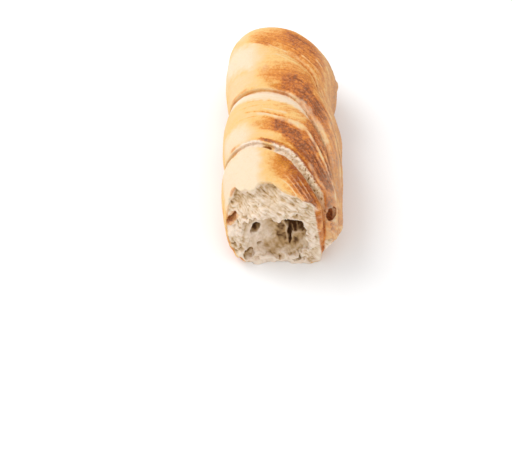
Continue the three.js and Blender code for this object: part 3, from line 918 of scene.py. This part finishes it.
class LoafShape(bpy.types.PropertyGroup):
    voxel: length("Fineness", "Size of the smallest detail of the form", 0.0004)
    triangles: whole("Triangles", "Most triangles in the finished loaf", 196000)
    crust: length("Crust", "Thickness of the crust where it was torn", 0.0012)
    small_holes: whole("Small holes", "How many small air holes are tried", 650)
    hole_least: length("Smallest hole", "Width of the smallest air holes", 0.0012)
    hole_most: length("Largest small hole", "Width of the largest of the small holes", 0.0055)
    seed: whole("Seed", "Chooses another scatter of holes", 41)


def colour(name, description, default):
    return FloatVectorProperty(
        name=name, description=description, default=default, subtype="COLOR", size=3, min=0, max=1
    )


def linear(red, green, blue):
    """A colour as a screen shows it, 0 to 255, as linear light."""
    values = np.array([red, green, blue]) / 255
    return tuple(np.where(values <= 0.04045, values / 12.92, ((values + 0.055) / 1.055) ** 2.4))


class LoafColours(bpy.types.PropertyGroup):
    dough: colour("Pale crust", "Crust that hardly browned", linear(236, 198, 144))
    gold: colour("Golden crust", "Lightly baked crust", linear(242, 194, 120))
    amber: colour("Amber crust", "Well baked crust", linear(226, 144, 62))
    brown: colour("Brown crust", "Deeply baked crust", linear(190, 106, 50))
    dark: colour("Dark crust", "The darkest spots of the crust", linear(138, 76, 40))
    glaze: colour("Glazed crust", "Crust that baked smooth and clear orange", linear(214, 134, 34))
    burnt: colour("Burnt glaze", "The darkest of the glazed crust", linear(160, 76, 16))
    flour: colour("Flour", "Flour left on the crust", linear(238, 216, 186))
    # Ridge, crumb, hollow and deep crumb run from a painted highlight on the crumb's ridges to painted shade
    # in its deepest holes.
    ridge: colour("Crumb ridges", "The torn ridges of the crumb", linear(248, 228, 208))
    crumb: colour("Crumb", "The soft inside of the bread", linear(226, 200, 168))
    hollow: colour("Hollow crumb", "Crumb in the shade of a hole", linear(196, 160, 112))
    deep: colour("Deep crumb", "Crumb at the bottom of the deepest holes", linear(96, 60, 30))


def power(name, description, default):
    return FloatProperty(name=name, description=description, default=default, unit="POWER")


class StageSettings(bpy.types.PropertyGroup):
    floor: colour("Floor", "Colour of the floor", (0.93, 0.935, 0.94))
    key: power("Key light", "Power of the main light", 12.5)
    fill: power("Fill light", "Power of the light from the front", 2.0)
    sky: FloatProperty(name="Surroundings", description="Brightness of the surroundings", default=0.88)


# ---- Finish ----
def math_node(tree, operation, a, b=None, clamp=False):
    node = tree.nodes.new("ShaderNodeMath")
    node.operation = operation
    node.use_clamp = clamp
    for socket, value in zip(node.inputs, (a, b)):
        if value is None:
            continue
        if isinstance(value, (int, float)):
            socket.default_value = value
        else:
            tree.links.new(value, socket)
    return node.outputs[0]


def mix_node(tree, factor, a, b):
    node = tree.nodes.new("ShaderNodeMix")
    node.data_type = "RGBA"
    for socket, value in zip((node.inputs[0], node.inputs[6], node.inputs[7]), (factor, a, b)):
        if isinstance(value, (int, float)):
            socket.default_value = value
        elif isinstance(value, bpy.types.NodeSocket):
            tree.links.new(value, socket)
        else:
            socket.default_value = (*value, 1)
    return node.outputs[2]


def attribute_node(tree, name):
    node = tree.nodes.new("ShaderNodeAttribute")
    node.attribute_name = name
    return node.outputs["Fac"]


def set_inputs(node, values):
    for name, value in values.items():
        node.inputs[name].default_value = value


def noise_node(tree, place, size_mm, roughness):
    """Shader noise whose lumps are about this many millimetres."""
    node = tree.nodes.new("ShaderNodeTexNoise")
    set_inputs(node, {"Scale": 1 / (size_mm * MM), "Detail": 3.0, "Roughness": roughness})
    tree.links.new(place, node.inputs["Vector"])
    return node.outputs["Fac"]


def colour_ramp(tree, level, stops):
    ramp = tree.nodes.new("ShaderNodeValToRGB")
    for position, _ in stops[1:-1]:
        ramp.color_ramp.elements.new(position)
    for element, (position, tint) in zip(ramp.color_ramp.elements, stops):
        element.position = position
        element.color = (*tint, 1)
    tree.links.new(level, ramp.inputs["Fac"])
    return ramp.outputs["Color"]


def scaled(tree, value, by, plus):
    """A value times a number, plus another number."""
    socket = math_node(tree, "MULTIPLY_ADD", value, by)
    socket.node.inputs[2].default_value = plus
    return socket


def swing(tree, value, size):
    """A value of 0 to 1 as a swing of this size about 0."""
    return scaled(tree, value, size, -size / 2)


def bread_material(colours):
    material = bpy.data.materials.new("Baked bread")
    material.use_nodes = True
    tree = material.node_tree
    shader = tree.nodes["Principled BSDF"]
    place = tree.nodes.new("ShaderNodeTexCoord").outputs["Object"]
    # The baked and floured attributes also carry painted light and shade of the crust's pits and bumps, and
    # hollow the crumb's painted shade.
    names = ("baked", "floured", "glazed", "crumb", "hollow")
    baked, floured, glazed, crumb, hollow = (attribute_node(tree, name) for name in names)

    fine = noise_node(tree, place, 0.8, 0.6)
    grain = noise_node(tree, place, 1.7, 0.65)
    spread = noise_node(tree, place, 4.5, 0.6)
    # Brown crust is more speckled than pale crust.
    speckle = math_node(tree, "ADD", swing(tree, fine, 0.7), swing(tree, grain, 1.2))
    speckle = math_node(tree, "MULTIPLY", speckle, scaled(tree, baked, 0.85, 0.12))
    uneven = math_node(tree, "ADD", speckle, swing(tree, spread, 0.2))
    level = math_node(tree, "ADD", baked, uneven, clamp=True)
    shades = (colours.dough, colours.gold, colours.amber, colours.brown, colours.dark)
    crust = colour_ramp(tree, level, list(zip((0.0, 0.25, 0.5, 0.78, 1.0), shades)))
    clear = colour_ramp(tree, level, [(0.1, colours.gold), (0.45, colours.glaze), (0.95, colours.burnt)])
    crust = mix_node(tree, glazed, crust, clear)

    # Flour lies in patches.
    patchy = math_node(tree, "ADD", swing(tree, fine, 0.7), swing(tree, grain, 1.1))
    dusting = math_node(tree, "MULTIPLY", patchy, floured)
    dusting = math_node(tree, "ADD", floured, dusting, clamp=True)
    crust = mix_node(tree, dusting, crust, tuple(colours.flour))
    # The crumb's painted light and shade: pale on its ridges, darkening into its holes as the hollow
    # attribute grows.
    depth = math_node(tree, "ADD", hollow, swing(tree, grain, 0.16), clamp=True)
    shades = (colours.ridge, colours.crumb, colours.hollow, colours.deep)
    inside = colour_ramp(tree, depth, list(zip((0.0, 0.4, 0.7, 1.0), shades)))
    tree.links.new(mix_node(tree, crumb, crust, inside), shader.inputs["Base Color"])

    set_inputs(
        shader,
        {
            "Roughness": 0.75,
            "Specular IOR Level": 0.18,
            "Subsurface Weight": 0.1,
            "Subsurface Radius": (1.0, 0.6, 0.35),
            "Subsurface Scale": 0.002,
        },
    )

    bump = tree.nodes.new("ShaderNodeBump")
    set_inputs(bump, {"Strength": 0.8, "Distance": 0.001})
    tree.links.new(math_node(tree, "ADD", fine, grain), bump.inputs["Height"])
    tree.links.new(bump.outputs["Normal"], shader.inputs["Normal"])
    return material


def plain_material(name, tint, roughness):
    material = bpy.data.materials.new(name)
    material.use_nodes = True
    shader = material.node_tree.nodes["Principled BSDF"]
    set_inputs(shader, {"Base Color": (*tint, 1), "Roughness": roughness})
    return material


# ---- Operators ----
class CIABATTA_OT_loaf(bpy.types.Operator):
    """Builds the torn half loaf in place of its solid"""

    bl_idname = "ciabatta.loaf"
    bl_label = "Build the loaf"

    def execute(self, context):
        shape, colours = context.scene.ciabatta_shape, context.scene.ciabatta_colours
        select_none()
        stick = add_stick()
        tree = BVHTree.FromObject(stick, context.evaluated_depsgraph_get())
        cut_away(stick, add_torn_away())
        cut_away(stick, add_floor_block())
        cut_away(stick, add_air_holes(shape))
        apply_modifier(stick, "REMESH", mode="VOXEL", voxel_size=shape.voxel)
        apply_modifier(stick, "SMOOTH", factor=0.4, iterations=2)
        places = places_of(stick)
        depth = skin_depths(places, tree)
        put_places(stick, detailed(stick, places, depth, shape.crust / MM))
        skin_depth = stick.data.attributes.new("skin_depth", "FLOAT", "POINT")
        skin_depth.data.foreach_set("value", depth.astype(np.float32))
        apply_modifier(stick, "TRIANGULATE")
        ratio = shape.triangles / len(stick.data.polygons)
        apply_modifier(stick, "DECIMATE", ratio=min(1.0, ratio))
        finish_loaf(stick, shape, colours)
        return {"FINISHED"}


CRUMB_ENDS = (-72, -66)  # between these the crumb's own finish gives way to crust
WALLS_BEHIND = (2.5, 7.0)  # this far behind the torn surface the walls of the holes are smoother
FLAT_BELOW = 0.25  # what lies lower is the base, and stays flat
RELIEF_ABOVE = (0.4, 3.0)
# Loose crumb is shoved about, but less in the holes, on the shelf and towards the side of the near fold.
SHOVE, LOOSE_BELOW_SKIN, STEADY_SIDE = 1.3, (1.0, 4.0), (15.0, 20.0)


def detailed(piece, places, depth, thickness):
    """Adds the crust's wrinkles and blisters and the crumb's fibres to the places of a mesh."""
    normals = normals_of(piece)
    twist = Twist(places)
    marks = SeamMarks(twist)
    baked, floured, _ = crust_masks(twist, marks)
    near_tear = 1 - ease(places[:, 1], *CRUMB_ENDS)
    inside = ease(depth, thickness * 0.6, thickness * 1.4) * near_tear

    right = 1 - ease(twist.angle, 55, 115)
    smooth = 1 - 0.8 * ease(floured, 0.4, 0.9)
    wrinkles = (0.12 + 0.32 * right) * (0.45 - 1.5 * np.abs(twist.strands(2.0, 22.0, 41)))
    blisters = 0.35 * (0.5 - cells(places, 2.4, 91)) + 0.3 * (0.5 - cells(places, 1.5, 93))
    blisters = ease(baked, 0.4, 0.8) * blisters
    grain = 0.12 * fractal(places, 2.0, 51)
    crust = (wrinkles + blisters + grain) * smooth + 0.5 * marks.lip
    for fold, line, half_width, height, _ in STREAKS:
        streak = patch(twist, fold, line, half_width, **STREAK_SHAPE)
        crust = crust + height * mix(0.5, 1, twist.broken) * streak
    pits = 0.45 - cells(places, 2.6, 95) + 0.5 * fractal(places, 2.2, 96)
    crust = mix(crust, pits, marks.bare)

    walls = ease(behind_tear(places), *WALLS_BEHIND)
    shelf = ease(places[:, 2], SHELF_FROM + 2, SHELF_FULL)
    upright = noise(places @ STRAND_TURN, (8.0, 6.0, 1.5), 61)
    strands = mix(upright, noise(places @ SHELF_TURN, (8.0, 1.4, 5.0), 63), shelf)
    fibres = 0.8 * (0.4 - np.abs(strands)) + 0.25 * fractal(places, 1.8, 62)
    side_wall = near_fold_side(places)
    crust = crust + 0.5 * torn_strands(places)
    relief = mix(crust, fibres * (1 - 0.85 * walls), inside) * (1 - 0.8 * side_wall)
    relief *= ease(places[:, 2], *RELIEF_ABOVE)

    loose = ease(depth, *LOOSE_BELOW_SKIN) * near_tear * (1 - 0.5 * walls)
    loose = loose * (1 - ease(places[:, 0], *STEADY_SIDE)) * (1 - 0.5 * shelf)
    shove = np.stack([noise(places, 5.5, 81 + i) + 0.45 * noise(places, 2.4, 85 + i) for i in range(3)], 1)
    moved = places + normals * relief[:, None] + SHOVE * loose[:, None] * shove
    moved = moved + outline_dents(places, twist.angle)
    moved[:, 2] = np.maximum(moved[:, 2], 0)
    moved[places[:, 2] < FLAT_BELOW, 2] = 0
    return moved


def outline_dents(places, angle):
    """How far the waist draws the right side in, and the flake above it stands out."""
    y = places[:, 1]
    waist = ease(y, WAIST_FROM, WAIST_DEEPEST) * (1 - ease(y, WAIST_DEEPEST, WAIST_TO))
    side = (1 - ease(angle, 30, 80)) * ease(angle, -75, -20)
    off = (((places - FLAKE_AT) / FLAKE_SIZE) ** 2).sum(1)
    flake = (1 - ease(off, 0.2, 1)) * (1 + 0.3 * noise(places, 2.0, 98))
    move = np.zeros_like(places)
    move[:, 0] = FLAKE_HEIGHT * flake - WAIST_DEPTH * waist * side
    return move


# How often places are levelled with their neighbours, to find the fine pits and the broad ones.
FINE_ROUNDS, BROAD_ROUNDS = 6, 40
BARE_ABOVE = 3.0  # no crumb shows in the seams below this


def sunken(piece, places, rounds):
    """How far each place lies below the general level around it, in millimetres."""
    ends = np.empty(len(piece.data.edges) * 2, np.int32)
    piece.data.edges.foreach_get("vertices", ends)
    a, b = ends.reshape(-1, 2).T
    many = len(places)
    neighbours = np.bincount(a, minlength=many) + np.bincount(b, minlength=many)
    level = places.copy()
    for _ in range(rounds):
        total = [np.bincount(a, level[b, k], many) + np.bincount(b, level[a, k], many) for k in range(3)]
        level = np.stack(total, 1) / neighbours[:, None]
    return ((level - places) * normals_of(piece)).sum(1)


def take_attribute(piece, name):
    """The values of a mesh's attribute, which is removed."""
    values = np.empty(len(piece.data.vertices), np.float32)
    piece.data.attributes[name].data.foreach_get("value", values)
    piece.data.attributes.remove(piece.data.attributes[name])
    return values


def crumb_shade(places, twist, fine, broad, seam):
    """The crumb's painted shade, 0 on its ridges to 1 in its deepest holes. It is paler along the seams."""
    in_hole = ease(behind_tear(places), 8.0, 22.0) * (1 - ease(places[:, 1], *CRUMB_ENDS))
    torn = 0.34 + 0.65 * fine + 0.12 * broad + 0.22 * in_hole**1.5
    torn = torn + within(places, SHADED, 0.1) - within(places, LIT)
    # Along the seams the bare crumb's painted shade deepens towards the right, with dark specks of painted
    # shade for its pits.
    pits = 0.6 * ease(noise(places, 1.8, 99), 0.25, 0.55) * (1 - 0.8 * ease(twist.angle, 98, 112))
    bare = 0.08 + 0.42 * (1 - ease(twist.angle, 45, 105)) + 0.25 * fine + pits
    return np.where(seam, bare, torn)


def paint_bread(loaf, places, depth, thickness):
    """Gives the loaf what its material reads: the finish of the crust and of the crumb and their painted
    light and shade, place by place.
    """
    twist = Twist(places)
    marks = SeamMarks(twist)
    baked, floured, glazed = crust_masks(twist, marks)
    fine, broad = (sunken(loaf, places, rounds) for rounds in (FINE_ROUNDS, BROAD_ROUNDS))
    past_crumb = ease(places[:, 1], *CRUMB_ENDS)
    crumb = ease(depth, thickness * 0.7, thickness * 1.5) * (1 - past_crumb)
    crumb = np.maximum(crumb * (1 - near_fold_side(places)), marks.bare * (places[:, 2] > BARE_ABOVE))
    crumb = np.maximum(crumb, 0.55 * marks.pale)
    hollow = crumb_shade(places, twist, fine, broad, (marks.bare > 0.05) & (depth < thickness * 1.5))
    hollow = np.where(marks.pale > 0.3, np.minimum(hollow, 0.1), hollow)
    browned = browned_holes(places)
    skinned = np.minimum(2.5 * browned, 1) * np.maximum(ease(depth, 0.4, 1.1), past_crumb)
    # Painted light and shade on the crust: browner and less floury in its fine pits and creases, paler on its
    # bumps.
    put_attribute(loaf, "baked", mix(baked + 0.3 * fine, 0.35 + 0.65 * browned, skinned))
    # The crumb's painted light and shade.
    put_attribute(loaf, "hollow", hollow)
    for name, values in (("floured", floured - 0.3 * fine), ("glazed", glazed), ("crumb", crumb)):
        put_attribute(loaf, name, values * (1 - skinned))


def finish_loaf(loaf, shape, colours):
    """Finishes the loaf and puts it in the place of the solid."""
    places = places_of(loaf)
    paint_bread(loaf, places, take_attribute(loaf, "skin_depth"), shape.crust / MM)
    put_places(loaf, places + frame_shift())
    loaf.name = "ciabatta_loaf"
    loaf.data.name = "ciabatta_loaf"
    loaf.data.materials.clear()
    loaf.data.materials.append(bread_material(colours))
    make_active(loaf)
    bpy.ops.object.shade_smooth()
    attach(loaf, "root")
    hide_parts(NODE)
    select_none()


def frame_shift():
    """From the form's own places to the frame's, found at the tip of the round end, in millimetres."""
    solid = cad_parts[NODE]
    solid_places = places_of(solid)
    tip = solid_places[solid_places[:, 1].argmax()]
    return np.array([tip[0] - MIDDLE_X[-1][1], tip[1] - END_Y, 0])


# The picture's size in pixels, the lens, and which place of the loaf lies at which pixel.
FRAME_WIDE, FRAME_HIGH = 512, 456
LENS, SENSOR = 100.0, 36.0
ELEVATION = 48.0
MM_PER_PIXEL = 0.678
AIM_PIXEL = (282.5, 150.0)
AIM_PLACE = (0.0, -15.5, 28.0)


def add_camera():
    """Puts the camera where the photograph was taken from."""
    rise = math.radians(ELEVATION)
    forward = Vector((0, math.cos(rise), -math.sin(rise)))
    up = Vector((0, math.sin(rise), math.cos(rise)))
    right = Vector((1, 0, 0))
    focal = LENS / SENSOR * FRAME_WIDE
    reach = focal * MM_PER_PIXEL
    off_x = (AIM_PIXEL[0] - FRAME_WIDE / 2) / focal
    off_y = (AIM_PIXEL[1] - FRAME_HIGH / 2) / focal
    place = Vector(AIM_PLACE) - reach * (forward + off_x * right - off_y * up)
    bpy.ops.object.camera_add(location=place * MM)
    camera = bpy.context.object
    camera.name = "Camera"
    camera.rotation_mode = "QUATERNION"
    camera.rotation_quaternion = forward.to_track_quat("-Z", "Y")
    camera.data.lens = LENS
    camera.data.sensor_width = SENSOR
    camera.data.clip_start, camera.data.clip_end = 0.05, 50
    bpy.context.scene.camera = camera


LIGHTS_AIM = (0, 0, 0.03)


def add_area_light(name, location, size, strength):
    bpy.ops.object.light_add(type="AREA", location=location)
    light = bpy.context.object
    light.name = name
    light.data.shape = "DISK"
    light.data.size = size
    light.data.energy = strength
    light.rotation_mode = "QUATERNION"
    light.rotation_quaternion = (Vector(LIGHTS_AIM) - Vector(location)).to_track_quat("-Z", "Y")


class CIABATTA_OT_stage(bpy.types.Operator):
    """Adds the pale floor, the soft studio light and the camera"""

    bl_idname = "ciabatta.stage"
    bl_label = "Set up the stage"

    def execute(self, context):
        stage = context.scene.ciabatta_stage
        select_none()
        bpy.ops.mesh.primitive_plane_add(size=8)
        floor = context.object
        floor.name = "floor"
        floor.data.materials.append(plain_material("Pale floor", stage.floor, 0.9))
        add_area_light("Key light", (-0.9, 0.45, 1.25), 1.1, stage.key)
        add_area_light("Fill light", (0.5, -1.4, 0.9), 1.0, stage.fill)
        world = bpy.data.worlds.new("Studio")
        context.scene.world = world
        world.use_nodes = True
        set_inputs(world.node_tree.nodes["Background"], {"Color": (1, 1, 1, 1), "Strength": stage.sky})
        context.scene.view_settings.view_transform = "Standard"
        add_camera()
        select_none()
        return {"FINISHED"}


class CIABATTA_PT_panel(bpy.types.Panel):
    bl_label = "Torn ciabatta"
    bl_idname = "CIABATTA_PT_panel"
    bl_space_type = "VIEW_3D"
    bl_region_type = "UI"
    bl_category = "Ciabatta"

    def draw(self, context):
        scene, layout = context.scene, self.layout
        for title, group, operator in (
            ("Shape", scene.ciabatta_shape, CIABATTA_OT_loaf),
            ("Colours", scene.ciabatta_colours, None),
            ("Stage", scene.ciabatta_stage, CIABATTA_OT_stage),
        ):
            box = layout.box()
            box.label(text=title)
            for name in group.__annotations__:
                box.prop(group, name)
            if operator:
                box.operator(operator.bl_idname)


SETTINGS = {"ciabatta_shape": LoafShape, "ciabatta_colours": LoafColours, "ciabatta_stage": StageSettings}
CLASSES = (*SETTINGS.values(), CIABATTA_OT_loaf, CIABATTA_OT_stage, CIABATTA_PT_panel)


def register():
    for each in CLASSES:
        bpy.utils.register_class(each)
    for name, group in SETTINGS.items():
        setattr(bpy.types.Scene, name, PointerProperty(type=group))


def unregister():
    for name in SETTINGS:
        delattr(bpy.types.Scene, name)
    for each in reversed(CLASSES):
        bpy.utils.unregister_class(each)


def main():
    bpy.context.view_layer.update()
    register()
    bpy.ops.ciabatta.loaf()
    bpy.ops.ciabatta.stage()
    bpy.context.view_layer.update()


if __name__ == "__main__":
    main()
